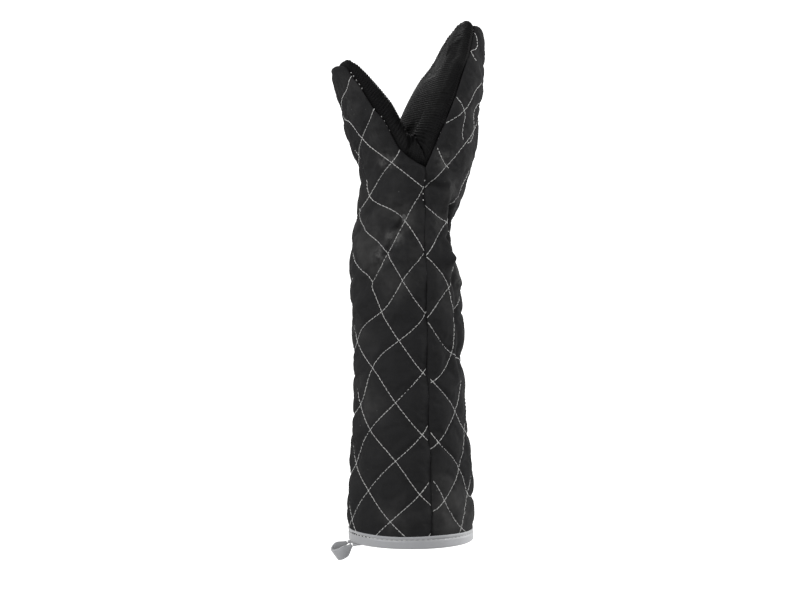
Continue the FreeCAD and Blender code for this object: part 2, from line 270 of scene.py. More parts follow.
def sim_slack(points, pinned, shrink, pressure, cap, steps):
    """How far a short cloth simulation moves each point of a coarse copy of a grid."""
    coarse = points[::CLOTH_STRIDE, ::CLOTH_STRIDE]
    rows, columns = coarse.shape[:2]
    mesh = bpy.data.meshes.new("slack")
    corner = np.arange(rows * columns).reshape(rows, columns)
    faces = np.stack([corner[:-1, :-1], corner[:-1, 1:], corner[1:, 1:], corner[1:, :-1]], axis=-1)
    mesh.from_pydata(coarse.reshape(-1, 3).tolist(), [], faces.reshape(-1, 4).tolist())
    cloth_object = bpy.data.objects.new("slack", mesh)
    bpy.context.scene.collection.objects.link(cloth_object)
    group = cloth_object.vertex_groups.new(name="stitched")
    held = np.flatnonzero(pinned[::CLOTH_STRIDE, ::CLOTH_STRIDE].ravel())
    group.add([int(i) for i in held], 1.0, "REPLACE")
    cloth = cloth_object.modifiers.new("Cloth", "CLOTH")
    settings = cloth.settings
    for key, value in CLOTH.items():
        setattr(settings, key, value)
    settings.vertex_group_mass = group.name
    settings.shrink_min = shrink
    settings.uniform_pressure_force = pressure
    settings.effector_weights.gravity = 0
    scene = bpy.context.scene
    for number in range(1, steps + 1):
        scene.frame_set(number)
    settled = cloth_object.evaluated_get(bpy.context.evaluated_depsgraph_get())
    found = np.empty(rows * columns * 3)
    settled.data.vertices.foreach_get("co", found)
    scene.frame_set(1)
    bpy.data.objects.remove(cloth_object)
    bpy.data.meshes.remove(mesh)
    move = found.reshape(rows, columns, 3) - coarse
    size = np.linalg.norm(move, axis=2, keepdims=True)
    move *= np.minimum(1, cap / np.maximum(size, 1e-9))
    return spread_out(move, points.shape[:2])


def spread_out(coarse, shape):
    """Values of a coarse grid read at every point of the fine one."""
    rows = np.clip(np.arange(shape[0]) / CLOTH_STRIDE, 0, coarse.shape[0] - 1)
    columns = np.clip(np.arange(shape[1]) / CLOTH_STRIDE, 0, coarse.shape[1] - 1)
    return sample(coarse, rows[:, None], columns[None, :])


def sample(grid, row, column):
    """A grid's values between its points."""
    row, column = np.broadcast_arrays(np.asarray(row, float), np.asarray(column, float))
    r = np.clip(row.astype(int), 0, grid.shape[0] - 2)
    c = np.clip(column.astype(int), 0, grid.shape[1] - 2)
    fr, fc = (row - r)[..., None], (column - c)[..., None]
    near = grid[r, c] * (1 - fc) + grid[r, c + 1] * fc
    far = grid[r + 1, c] * (1 - fc) + grid[r + 1, c + 1] * fc
    return near * (1 - fr) + far * fr


def new_piece(name, points, faces, materials, face_slots=None, flat=None):
    """A mesh object in the scene, with its materials and its places on the flat cloth."""
    mesh = bpy.data.meshes.new(name)
    mesh.from_pydata(np.asarray(points).reshape(-1, 3).tolist(), [], [list(map(int, f)) for f in faces])
    for material in materials:
        mesh.materials.append(material)
    if face_slots is not None:
        mesh.polygons.foreach_set("material_index", np.asarray(face_slots, np.int32))
    mesh.polygons.foreach_set("use_smooth", np.ones(len(mesh.polygons), bool))
    if flat is not None:
        layer = mesh.attributes.new("flat", "FLOAT_VECTOR", "POINT")
        layer.data.foreach_set("vector", np.asarray(flat, np.float32).ravel())
    mesh.update()
    piece = bpy.data.objects.new(name, mesh)
    bpy.context.scene.collection.objects.link(piece)
    return piece


def shell_piece(name, outside, inside, materials, flat):
    """A closed shell from an outer and an inner grid, with the outer material first."""
    rows, columns = outside.shape[:2]
    corner = np.arange(rows * columns).reshape(rows, columns)
    offset = rows * columns

    def quads(a, b, c, d):
        return np.stack([a, b, c, d], axis=-1).reshape(-1, 4)

    outer = quads(corner[:-1, :-1], corner[:-1, 1:], corner[1:, 1:], corner[1:, :-1])
    inner = outer[:, ::-1] + offset
    rim = []
    for line in (corner[0, ::-1], corner[:, 0], corner[-1, :], corner[::-1, -1]):
        rim.append(quads(line[:-1], line[1:], line[1:] + offset, line[:-1] + offset))
    rim = np.concatenate(rim)
    faces = np.concatenate([outer, inner, rim])
    slots = np.concatenate([np.zeros(len(outer)), np.ones(len(inner)), np.zeros(len(rim))])
    points = np.concatenate([outside.reshape(-1, 3), inside.reshape(-1, 3)])
    piece = new_piece(name, points, faces, materials, slots, np.concatenate([flat, flat]))
    facing = np.cross(outside[1, 1] - outside[0, 1], outside[0, 2] - outside[0, 1])
    away = outside[0, 1] - inside[0, 1]
    if facing @ away > 0:
        piece.data.flip_normals()
    return piece


def stitches_piece(name, stitches, diameter, length, material):
    """Many stitches as one mesh. Each is (middle, way along, normal)."""
    sides = STITCH_SIDES
    rings = [(a * length, r * diameter / 2, lift * diameter) for a, r, lift in STITCH_RINGS]
    points, faces = [], []
    for middle, way, normal in stitches:
        way = way / max(np.linalg.norm(way), 1e-9)
        side = np.cross(way, normal)
        side /= max(np.linalg.norm(side), 1e-9)
        up = np.cross(side, way)
        base = len(points)
        for along, radius, lift in rings:
            for k in range(sides):
                turn = 2 * math.pi * k / sides
                spot = middle + way * along + up * (lift + radius * math.sin(turn))
                points.append(spot + side * radius * math.cos(turn))
        for r in range(len(rings) - 1):
            for k in range(sides):
                a, b = base + r * sides + k, base + r * sides + (k + 1) % sides
                faces.append((a, a + sides, b + sides, b))
        faces.append(tuple(range(base, base + sides)))
        last = base + (len(rings) - 1) * sides
        faces.append(tuple(range(last + sides - 1, last - 1, -1)))
    return new_piece(name, np.array(points), faces, [material])


def stitches_along(path, normals, pitch, start=0.5, wobble=0.0, random=None):
    """Stitches at an even pitch along a path with normals, as (middle, way along, normal)."""
    path, normals = np.asarray(path), np.asarray(normals)
    run = np.concatenate([[0], np.cumsum(np.linalg.norm(np.diff(path, axis=0), axis=1))])

    def read(values, place):
        return np.array([np.interp(place, run, values[:, k]) for k in range(3)])

    out = []
    place = start * pitch
    while place < run[-1] - 0.4 * pitch:
        here, normal = read(path, place), read(normals, place)
        normal /= max(np.linalg.norm(normal), 1e-9)
        way = read(path, place + 0.3 * pitch) - read(path, place - 0.3 * pitch)
        if random is not None:
            side = np.cross(way, normal)
            way = way + side * random.normal(0, wobble)
        out.append((here, way, normal))
        place += pitch * (1 if random is None else 1 + random.normal(0, 0.04))
    return out


# ---------------------------------------------------------------- materials

class Value:
    """A shader number. Arithmetic on it adds the Math nodes that work it out."""

    def __init__(self, finish, socket):
        self.finish = finish
        self.socket = socket

    def math(self, operation, *others, clamp=False):
        settings = {"operation": operation, "use_clamp": clamp}
        return self.finish.node("ShaderNodeMath", settings, dict(enumerate([self, *others]))).value()

    def __add__(self, other):
        return self.math("ADD", other)

    def __mul__(self, other):
        return self.math("MULTIPLY", other)

    def __sub__(self, other):
        return self.math("SUBTRACT", other)

    def __rsub__(self, other):
        return self.finish.constant_minus(other, self)

    __radd__ = __add__
    __rmul__ = __mul__

    def clamped(self):
        return self.math("ADD", 0.0, clamp=True)

    def between(self, low, high):
        """0 below low, 1 above high, and smooth between."""
        inputs = {"Value": self, "From Min": low, "From Max": high}
        return self.finish.node("ShaderNodeMapRange", {"interpolation_type": "SMOOTHSTEP"}, inputs).value()


class Made:
    """A node that was added, with its outputs by name."""

    def __init__(self, finish, node):
        self.finish = finish
        self.node = node

    def value(self, output=0):
        return Value(self.finish, self.node.outputs[output])

    def out(self, output=0):
        return self.node.outputs[output]


class Finish:
    """One material, built node by node."""

    def __init__(self, name):
        self.material = bpy.data.materials.new(name)
        self.material.use_nodes = True
        self.tree = self.material.node_tree
        self.shader = self.tree.nodes["Principled BSDF"]

    def node(self, kind, settings=None, inputs=None):
        """Any node, from its type, its settings and the values or links of its sockets."""
        made = self.tree.nodes.new(kind)
        for key, setting in (settings or {}).items():
            setattr(made, key, setting)
        for key, given in (inputs or {}).items():
            self.feed(made.inputs[key], given)
        return Made(self, made)

    def feed(self, socket, given):
        if isinstance(given, Value):
            self.tree.links.new(given.socket, socket)
        elif isinstance(given, bpy.types.NodeSocket):
            self.tree.links.new(given, socket)
        else:
            socket.default_value = given

    def constant_minus(self, number, value):
        return self.node("ShaderNodeMath", {"operation": "SUBTRACT"}, {0: number, 1: value}).value()

    def surface(self, **inputs):
        """Feeds the shader's own sockets."""
        for key, given in inputs.items():
            self.feed(self.shader.inputs[key.replace("_", " ")], given)

    def mix(self, factor, first, second):
        """A colour between two."""
        made = self.node("ShaderNodeMix", {"data_type": "RGBA"}, {"Factor": factor})
        self.feed(made.node.inputs[6], first)
        self.feed(made.node.inputs[7], second)
        return made.out(2)

    def noise(self, place, scale, detail=3.0, rough=0.55):
        inputs = {"Vector": place, "Scale": scale, "Detail": detail, "Roughness": rough}
        return self.node("ShaderNodeTexNoise", {}, inputs).value()

    def bump(self, height, distance, strength=1.0, under=None):
        inputs = {"Height": height, "Distance": distance, "Strength": strength}
        if under is not None:
            inputs["Normal"] = under
        return self.node("ShaderNodeBump", {}, inputs).out()

    def waves(self, place, turn, period):
        """Stripes a period apart, across a direction turned from the first axis."""
        turned = {"Vector": place, "Angle": turn}
        spin = self.node("ShaderNodeVectorRotate", {"rotation_type": "Z_AXIS"}, turned).out()
        stripes = {"wave_type": "BANDS", "bands_direction": "X", "wave_profile": "SIN"}
        # a wave texture at scale 1 repeats every 2 pi / 20
        inputs = {"Vector": spin, "Scale": 2 * math.pi / (20 * period)}
        return self.node("ShaderNodeTexWave", stripes, inputs).value()

    def place(self):
        """Where a point is on the mitt."""
        return self.node("ShaderNodeTexCoord").out("Object")

    def flat(self):
        """Where a point is on the flat cloth."""
        return self.node("ShaderNodeAttribute", {"attribute_name": "flat"}).out("Vector")


THREAD_TWIST = 0.0005  # from one turn of the thread's strands to the next


def grey(level, warm=0.0):
    return (level * (1 + warm), level, level * (1 - warm), 1.0)


def opaque(colour):
    return tuple(colour) + (1.0,)


# Pale patches, part rubbed-in dust and part painted highlight on raised folds, as (x, y, z, radius,
# strength)
DUST_AND_HIGHLIGHTS = [
    (-0.0275, -0.036, 0.2415, 0.011, 1.0),
    (-0.036, -0.030, 0.227, 0.012, 0.5),
    (-0.034, -0.033, 0.301, 0.012, 0.6),
    (0.036, -0.030, 0.212, 0.016, 0.6),
    (0.030, -0.026, 0.272, 0.014, 0.7),
    (0.010, -0.045, 0.303, 0.012, 0.5),
    (-0.040, 0.022, 0.160, 0.020, 0.5),
    (0.038, 0.020, 0.130, 0.018, 0.5),
]


def dust_and_highlight_patches(finish, place):
    """Soft pale patches of dust and painted highlight, strongest at their middles."""
    total = None
    for x, y, z, radius, strength in DUST_AND_HIGHLIGHTS:
        inputs = {0: place, 1: (x, y, z)}
        gap = finish.node("ShaderNodeVectorMath", {"operation": "DISTANCE"}, inputs).value("Value")
        patch = (1 - gap.between(0.0, radius)) * strength
        total = patch if total is None else total + patch
    return total


def twill_finish(looks):
    """Black cotton twill: fine diagonal ribs, worn paler here and there, lint, dust and painted highlight.
    """
    finish = Finish("black_twill")
    place, flat = finish.place(), finish.flat()
    ribs = finish.waves(flat, math.radians(58), looks.twill_pitch)
    ends = finish.waves(flat, math.radians(-20), looks.twill_pitch * 0.8)
    fading = finish.noise(place, 26.0, 5.0, 0.6)
    grime = finish.noise(place, 9.0, 2.0)
    worn = fading.between(0.42, 0.72) * grime.between(0.38, 0.62)
    fibres = finish.noise(flat, 2300.0, 2.0)
    specks = {"Vector": place, "Scale": 210.0, "Randomness": 1.0}
    flecks = finish.node("ShaderNodeTexVoronoi", {}, specks).value("Distance")
    # pale patches at set places: rubbed-in dust, and painted highlight on raised pillows and folds
    dust_and_highlight = dust_and_highlight_patches(finish, place) * finish.noise(place, 170.0, 5.0, 0.7).between(0.36, 0.62)
    lint = (1 - flecks.between(0.03, 0.085)) * finish.noise(place, 34.0, 2.0).between(0.60, 0.68)
    base = finish.mix(fibres.between(0.3, 0.75) * 0.6 + ribs * 0.3, opaque(looks.twill_colour), grey(0.0105))
    base = finish.mix(worn * 0.4, base, grey(0.034, 0.02))
    # paints the pale patches in: dust, and painted highlight on the raised folds
    base = finish.mix((dust_and_highlight * fading.between(0.3, 0.62)).clamped() * 0.85, base, grey(0.075, 0.01))
    base = finish.mix(lint * 0.5, base, grey(0.13))
    weave = finish.bump(ribs * 0.8 + ends * 0.25 + fibres * 0.5, 0.00014, 0.8)
    rumple = finish.bump(finish.noise(place, 75.0, 4.0), 0.0022, 0.6, weave)
    finish.surface(Base_Color=base, Roughness=0.94 - worn * 0.06, Normal=rumple, Specular_IOR_Level=0.05)
    return finish.material


def knit_finish(looks):
    """The grip's ribbed knit: rows of small slanted stitches on the modelled ribs."""
    finish = Finish("grip_knit")
    place, flat = finish.place(), finish.flat()
    left = finish.waves(flat, math.radians(32), looks.knit_pitch * 0.5)
    right = finish.waves(flat, math.radians(-32), looks.knit_pitch * 0.5)
    loops = left * right
    soft = finish.noise(place, 30.0, 4.0)
    base = finish.mix(loops.between(0.1, 0.8), opaque(looks.knit_colour), grey(0.0045))
    base = finish.mix(soft.between(0.5, 0.75) * 0.25, base, grey(0.009))
    weave = finish.bump(loops, 0.00022, 0.8)
    finish.surface(Base_Color=base, Roughness=0.62 + soft * 0.2, Normal=weave, Specular_IOR_Level=0.03)
    return finish.material


def lining_finish(looks):
    """Plain black cotton inside the mitt."""
    finish = Finish("lining_cloth")
    place, flat = finish.place(), finish.flat()
    pitch = 0.0007
    weave = finish.waves(flat, 0.0, pitch) * finish.waves(flat, math.radians(90), pitch)
    fading = finish.noise(place, 60.0, 4.0).between(0.4, 0.7)
    base = finish.mix(fading, opaque(looks.lining_colour), grey(0.020))
    finish.surface(Base_Color=base, Roughness=0.9, Normal=finish.bump(weave, 0.0001, 0.6))
    return finish.material


def tape_finish(looks):
    """Silver-grey woven tape with a soft sheen."""
    finish = Finish("binding_tape")
    place, flat = finish.place(), finish.flat()
    ribs = finish.waves(flat, 0.0, 0.0009)
    ends = finish.waves(flat, math.radians(90), 0.0006)
    stain = finish.noise(place, 45.0, 4.0)
    base = finish.mix(stain.between(0.35, 0.7) * 0.35, opaque(looks.tape_colour), grey(0.115))
    base = finish.mix(ribs * 0.18, base, grey(0.28))
    weave = finish.bump(ribs * 0.7 + ends * 0.4, 0.00012, 0.8)
    finish.surface(Base_Color=base, Roughness=0.46 + stain * 0.2, Normal=weave)
    finish.surface(Metallic=0.25, Sheen_Weight=0.2)
    return finish.material


def thread_finish(looks):
    """Light grey twisted sewing thread."""
    finish = Finish("thread")
    place = finish.place()
    twist = finish.waves(place, math.radians(35), THREAD_TWIST)
    shade = finish.noise(place, 60.0, 3.0)
    base = finish.mix(shade.between(0.3, 0.75), opaque(looks.thread_colour), grey(0.15))
    finish.surface(Base_Color=base, Roughness=0.7, Normal=finish.bump(twist, 0.00008, 0.6), Sheen_Weight=0.2)
    return finish.material


def black_thread_finish(looks):
    """Black sewing thread, which shows only close up."""
    finish = Finish("black_thread")
    twist = finish.waves(finish.place(), math.radians(35), THREAD_TWIST)
    base = finish.mix(twist, opaque(looks.black_thread_colour), grey(0.012))
    finish.surface(Base_Color=base, Roughness=0.75, Normal=finish.bump(twist, 0.00006, 0.6))
    return finish.material


FINISHES = {
    "black_twill": twill_finish,
    "grip_knit": knit_finish,
    "lining_cloth": lining_finish,
    "binding_tape": tape_finish,
    "thread": thread_finish,
    "black_thread": black_thread_finish,
}
# Kept here by name, since the frame's own materials can have the same names in the file
MADE_FINISHES = {}


def finish_of(name):
    """The material of this name, made once."""
    if name not in MADE_FINISHES:
        MADE_FINISHES[name] = FINISHES[name](bpy.context.scene.mitt_looks)
    return MADE_FINISHES[name]


# ---------------------------------------------------------------- panels

class PanelShape:
    """One panel's finished outer grid, with what its stitches need to find their places."""

    def __init__(self, rows, outside, normals, across, height, phases=()):
        self.rows = rows
        self.outside = outside
        self.normals = normals
        self.flat = np.stack([across, height, np.zeros_like(across)], axis=-1)
        self.height = height
        self.phases = phases

    def at(self, row, column):
        return sample(self.outside, row, column), sample(self.normals, row, column)


PANELS = {}


def quilt_phases(across, height, marks, sizes):
    """How many quilting lines of each family lie below a place on the cloth.

    The lines are evenly spaced on the flat cloth where there are no marks near, and go
    through the marks. Places are measured from the line up the middle of the panel.
    """
    marks = np.array(marks)
    spots = marks[:, :2] * MM
    # where two even lines would cross: a share of a diamond up, and a distance from the middle
    crossing_up, crossing_in = 0.05, 0.0655
    give = 0.01  # how loosely the marks hold their lines

    def even(inward, z):
        rise, run = z / sizes.diamond_height - crossing_up, (crossing_in - inward) / sizes.diamond_width
        return np.stack([rise + run, rise - run], axis=-1)

    def nearness(inward, z):
        gap = (inward[..., None] - spots[:, 0]) ** 2 + (z[..., None] - spots[:, 1]) ** 2
        return np.exp(-gap / sizes.mark_reach ** 2)

    error = marks[:, 2:] - even(spots[:, 0], spots[:, 1])
    system = nearness(spots[:, 0], spots[:, 1]) + give * np.eye(len(spots))
    inward = across[:, -1:] / 2 - across
    found = even(inward, height) + nearness(inward, height) @ np.linalg.solve(system, error)
    return found[..., 0], found[..., 1]


def edge_groove(across, sizes):
    """The pull of the seams at a panel's two long edges, from 0 on the cloth to 1 at the seam."""
    whole = across[:, -1:]
    gap = np.minimum(across, whole - across)
    return np.exp(-(gap / sizes.seam_groove) ** 1.6)


def quilted_panel(name, rows, marks, folds, outward, sizes):
    """The outer grid of a quilted panel."""
    keyed = smooth_rows(rows, sizes.rows)
    smooth = form_grid(keyed, sizes.columns)
    across, height = flat_lengths(smooth)
    normals = grid_normals(smooth, outward)
    first, second = quilt_phases(across, smooth[:, :, 2], marks, sizes)
    lines = np.abs(np.sin(math.pi * first) * np.sin(math.pi * second))
    narrow = smoothstep(0.002, 0.03, keyed[:, 2])[:, None]
    hem = smoothstep(0.006, 0.022, height)
    pillow = lines ** 0.6
    level, stand = 0.55, 0.15  # shares of the puff that lie under the form, and that raise it all
    lift = (sizes.puff * (pillow - level) * hem + sizes.puff * stand) * narrow
    lift = lift - sizes.seam_depth * edge_groove(across, sizes) * narrow
    lift = lift + fold_depth(folds, across, height) * hem
    points = smooth + normals * lift[..., None]
    # the cloth is held along its quilting, its seams, its hem and its narrow tip
    gap = np.minimum(np.abs(first - np.round(first)), np.abs(second - np.round(second)))
    edge = np.minimum(across, across[:, -1:] - across)
    pinned = (gap < 0.035) | (edge < 0.0025) | (height < 0.012) | (keyed[:, 2] < 0.012)[:, None]
    move = sim_slack(points, pinned, -0.03, 0.7, sizes.slack_cap, 14)
    points = points + move * (smoothstep(0, 0.004, edge) * narrow * hem)[..., None]
    normals = grid_normals(points, outward)
    PANELS[name] = PanelShape(keyed, points, normals, across, height, (first, second))
    return PANELS[name]


def quilting_stitches(shape, sizes, seed):
    """Stitches along every quilting line of a panel."""
    random = np.random.default_rng(seed)
    stitches = []
    for phase in shape.phases:
        for line in range(int(np.floor(phase.min())), int(np.ceil(phase.max())) + 1):
            for path in line_paths(phase - line, shape, sizes):
                points, normals = shape.at(path[:, 0], path[:, 1])
                start = random.uniform(0.2, 0.8)
                stitches += stitches_along(points, normals, sizes.quilt_pitch, start, 0.05, random)
    return stitches


def line_paths(level, shape, sizes):
    """Where a panel's grid crosses zero, as runs of (row, column) places."""
    reach = 16  # columns that a line may move by from one row to the next
    ended, growing = [], []
    for row in range(level.shape[0]):
        values = level[row]
        kept = []
        if shape.rows[row, 2] > 0.004:
            for c in np.flatnonzero(values[:-1] * values[1:] < 0):
                if shape.height[row, c] > sizes.binding_height * 0.7:
                    kept.append(c + values[c] / (values[c] - values[c + 1]))
        still = []
        for run in growing:
            near = [place for place in kept if abs(place - run[-1][1]) < reach]
            if near:
                place = min(near, key=lambda found: abs(found - run[-1][1]))
                kept.remove(place)
                run.append((row, place))
                still.append(run)
            else:
                ended.append(run)
        growing = still + [[(row, place)] for place in kept]
    return [close_steps(np.array(run)) for run in ended + growing if len(run) > 4]


def close_steps(path):
    """A path of (row, column) places with no step longer than about one place."""
    step = np.maximum(np.abs(np.diff(path[:, 1])), 1.0)
    run = np.concatenate([[0], np.cumsum(step)])
    at = np.linspace(0, run[-1], int(run[-1]) + 2)
    return np.stack([np.interp(at, run, path[:, 0]), np.interp(at, run, path[:, 1])], axis=-1)


def grip_panel(name, rows, outward, slack_height, sizes):
    """The outer grid of one side of the ribbed grip."""
    keyed = smooth_rows(rows, sizes.grip_rows)
    smooth = form_grid(keyed, sizes.columns)
    across, height = flat_lengths(smooth)
    normals = grid_normals(smooth, outward)
    narrow = smoothstep(0.002, 0.02, keyed[:, 2])[:, None]
    # the padding swells beside the seam and hollows a little in the middle
    gap = np.minimum(across, across[:, -1:] - across)
    roll = 0.0016 * np.exp(-((gap - 0.009) / 0.006) ** 2)
    ease = 0.0011 * np.sin(across * 70 + 2 * np.sin(height * 40)) * smoothstep(0.01, 0.03, gap)
    # a roll of loose cloth, with a dip above it, lies just over the crotch
    place = across / across[:, -1:]
    rise = height - height[:1]
    fold = np.exp(-((rise - 0.0065) / 0.0042) ** 2) - 0.7 * np.exp(-((rise - 0.0145) / 0.004) ** 2)
    slack = slack_height * np.exp(-((place - 0.16) / 0.24) ** 2) * fold
    lift = (roll + ease) * narrow + slack - sizes.seam_depth * 1.5 * edge_groove(across, sizes) * narrow
    points = smooth + normals * lift[..., None]
    pinned = (gap < 0.003) | (keyed[:, 2] < 0.012)[:, None] | (np.arange(sizes.grip_rows) < 3)[:, None]
    move = sim_slack(points, pinned, -0.02, 1.5, sizes.slack_cap * 0.8, 12)
    points = points + move * smoothstep(0, 0.005, gap)[..., None] * narrow[..., None]
    rib_normals = grid_normals(points, outward)
    middle = height[:, sizes.columns // 2][:, None]
    ribs = np.cos(2 * math.pi * middle / sizes.rib_pitch) * smoothstep(0.001, 0.004, gap)
    points = points + rib_normals * (sizes.rib_height * ribs * narrow)[..., None]
    PANELS[name] = PanelShape(keyed, points, rib_normals, across, np.broadcast_to(middle, across.shape))
    return PANELS[name]


def bend_with(piece):
    """Bakes a piece's transform into its mesh."""
    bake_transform(piece)


def build_shell(name, shape, finish, panels, sizes):
    """Makes a panel's padded piece from its finished outside."""
    inside = form_grid(shape.rows, sizes.columns, sizes.wall)
    materials = [finish_of(finish), finish_of("lining_cloth")]
    piece = shell_piece(name, shape.outside, inside, materials, shape.flat)
    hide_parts(*[panel + layer for panel in panels for layer in ("_cover", "_padding", "_lining")])
    bend_with(piece)


def build_thread(name, stitches, thickness, length, node=None, finish="thread"):
    """Makes a row of stitches, in place of the thread's own node if it has one."""
    piece = stitches_piece(name, stitches, thickness, length, finish_of(finish))
    if node:
        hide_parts(node)
    return piece


# ---------------------------------------------------------------- settings

def count(name, description, default, least):
    return bpy.props.IntProperty(name=name, description=description, default=default, min=least)


def length(name, description, default):
    return bpy.props.FloatProperty(name=name, description=description, default=default, unit="LENGTH")


def colour(name, description, default):
    settings = {"name": name, "description": description, "default": default, "subtype": "COLOR"}
    return bpy.props.FloatVectorProperty(**settings)


class MittSizes(bpy.types.PropertyGroup):
    """Sizes that a maker would change"""
    rows: count("Panel rows", "Rows of points up a quilted panel", 300, 60)
    columns: count("Panel columns", "Points across every panel", 101, 31)
    grip_rows: count("Grip rows", "Rows of points up each side of the grip", 270, 60)
    wall: length("Wall", "Thickness of the padded wall", 0.0052)
    puff: length("Puff", "Height of the quilting between its lines", 0.0021)
    slack_cap: length("Slack", "Most that the simulated cloth moves", 0.0011)
    diamond_width: length("Diamond width", "Width of a quilted diamond", 0.046)
    diamond_height: length("Diamond height", "Height of a quilted diamond", 0.0494)
    mark_reach: length("Mark reach", "How far a quilting mark pulls its lines", 0.026)
    quilt_pitch: length("Quilting pitch", "From one quilting stitch to the next", 0.0034)
    quilt_thread: length("Quilting thread", "Thickness of the quilting thread", 0.00056)
    seam_depth: length("Seam depth", "How deep the seams pull in", 0.0024)
    seam_groove: length("Seam groove", "Half width of the groove at a seam", 0.0034)
    rib_pitch: length("Rib pitch", "From one rib of the grip to the next", 0.0021)
    rib_height: length("Rib height", "Height of the grip's ribs", 0.00027)
    binding_height: length("Binding height", "Height of the cuff's binding", 0.0098)
    binding_stitch: length("Binding stitch", "Pitch of the binding's stitches", 0.0041)
    tape_width: length("Tape width", "Width of the loop's tape", 0.0096)
    tape_thickness: length("Tape thickness", "Thickness of the loop's tape", 0.0012)
    loop_length: length("Loop length", "How far the loop reaches from the hem", 0.0148)


class MittLooks(bpy.types.PropertyGroup):
    """Colours and weaves that a maker would change"""
    twill_colour: colour("Twill", "Colour of the quilted cloth", (0.0042, 0.0042, 0.0047))
    knit_colour: colour("Grip", "Colour of the ribbed grip", (0.0011, 0.0011, 0.0012))
    lining_colour: colour("Lining", "Colour of the lining", (0.01, 0.01, 0.01))
    tape_colour: colour("Tape", "Colour of the binding and the loop", (0.122, 0.125, 0.132))
    thread_colour: colour("Thread", "Colour of the quilting thread", (0.22, 0.22, 0.212))
    black_thread_colour: colour("Seam thread", "Colour of the side seams' thread", (0.005, 0.005, 0.005))
    twill_pitch: length("Twill pitch", "Spacing of the twill's ribs", 0.0009)
    knit_pitch: length("Knit pitch", "Spacing of the knit's rows", 0.0021)


# ---------------------------------------------------------------- operators

class MITT_OT_back_panel(bpy.types.Operator):
    """Builds the quilted back panel, from the cuff to the fingertips"""
    bl_idname = "mitt.back_panel"
    bl_label = "Back Panel"

    def execute(self, context):
        sizes = context.scene.mitt_sizes
        outward = np.array([1.0, 0.0, 0.0])
        shape = quilted_panel("back", BACK_ROWS, BACK_MARKS, BACK_FOLDS, outward, sizes)
        panels = ("back_panel", "finger_back")
        build_shell("back_panel", shape, "black_twill", panels, sizes)
        return {"FINISHED"}


class MITT_OT_thumb_panel(bpy.types.Operator):
    """Builds the quilted panel of the thumb side, from the cuff to the thumb tip"""
    bl_idname = "mitt.thumb_panel"
    bl_label = "Thumb Panel"

    def execute(self, context):
        sizes = context.scene.mitt_sizes
        outward = np.array([-1.0, 0.0, 0.0])
        shape = quilted_panel("thumb", THUMB_ROWS, THUMB_MARKS, THUMB_FOLDS, outward, sizes)
        panels = ("thumb_panel", "thumb_back")
        build_shell("thumb_panel", shape, "black_twill", panels, sizes)
        return {"FINISHED"}


class MITT_OT_grip(bpy.types.Operator):
    """Builds the ribbed grip that lines the mouth, one piece for each side of the crotch"""
    bl_idname = "mitt.grip"
    bl_label = "Grip"

    def execute(self, context):
        sizes = context.scene.mitt_sizes
        shape = grip_panel("finger_grip", FINGER_GRIP_ROWS, np.array([-1.0, 0.0, 0.3]), 0.0, sizes)
        build_shell("finger_grip", shape, "grip_knit", ("finger_grip", "mouth_fold"), sizes)
        shape = grip_panel("thumb_grip", THUMB_GRIP_ROWS, np.array([1.0, 0.0, 0.5]), 0.0034, sizes)
        build_shell("thumb_grip", shape, "grip_knit", ("thumb_grip",), sizes)
        return {"FINISHED"}


class MITT_OT_quilting_thread(bpy.types.Operator):
    """Sews the diamond quilting of both outer panels"""
    bl_idname = "mitt.quilting_thread"
    bl_label = "Quilting Thread"

    def execute(self, context):
        sizes = context.scene.mitt_sizes
        for name, side, seed in (("back", "fingers", 11), ("thumb", "thumb", 12)):
            stitches = quilting_stitches(PANELS[name], sizes, seed)
            stitch = sizes.quilt_pitch * 0.95
            piece = build_thread(name + "_quilting_thread", stitches, sizes.quilt_thread, stitch)
            bend_with(piece)
        return {"FINISHED"}


def seam_edge(shape, column, low, high):
    """A panel's long edge, between two rows given as shares of its length, with its normals."""
    rows = np.arange(int(low * (len(shape.rows) - 1)), int(high * (len(shape.rows) - 1)) + 1)
    return sample(shape.outside, rows, column), sample(shape.normals, rows, column)


class MITT_OT_mouth_thread(bpy.types.Operator):
    """Sews the small pale stitches that show along both edges of the mouth"""
    bl_idname = "mitt.mouth_thread"
    bl_label = "Mouth Thread"

    def execute(self, context):
        sizes = context.scene.mitt_sizes
        # where the stitches show, as shares of the seam's length
        shown = (
            ("finger_grip", "fingers", 21, ((0.12, 0.19), (0.87, 0.96))),
            ("thumb_grip", "thumb", 22, ((0.34, 0.52), (0.74, 0.96))),
        )
        for name, side, seed, spans in shown:
            random = np.random.default_rng(seed)
            shape = PANELS[name]
            stitches = []
            for column in (0.9, sizes.columns - 1.9):
                for low, high in spans:
                    path, normals = seam_edge(shape, column, low, high)
                    stitches += stitches_along(path, normals, 0.0043, 0.5, 0.25, random)
            piece = build_thread(name + "_thread", stitches, 0.00075, 0.0014)
            bend_with(piece)

        # the near seam's top stitches, just below the corner of the mouth
        shape = PANELS["thumb"]
        up = shape.outside[:, 1, 2]
        rows = np.flatnonzero((up > 0.268) & (up < 0.293))
        stitches = stitches_along(shape.outside[rows, 1], shape.normals[rows, 1], 0.0051, 0.5, 0.3, random)
        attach(build_thread("corner_thread", stitches, 0.00085, 0.0013), "sleeve")
        return {"FINISHED"}


class MITT_OT_side_seams(bpy.types.Operator):
    """Sews the two side seams of the sleeve, deep in their grooves"""
    bl_idname = "mitt.side_seams"
    bl_label = "Side Seams"

    def execute(self, context):
        shape = PANELS["thumb"]
        up = shape.height[:, 0]
        rows = np.flatnonzero((up > 0.011) & (up < 0.292))
        for name, column in (("near_seam_thread", 0), ("far_seam_thread", shape.outside.shape[1] - 1)):
            path = shape.outside[rows, column]
            normals = np.zeros_like(path)
            normals[:, 1] = np.sign(path[:, 1])
            stitches = stitches_along(path - normals * 0.0004, normals, 0.0042)
            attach(build_thread(name, stitches, 0.0004, 0.0024, name, "black_thread"), "sleeve")
        return {"FINISHED"}


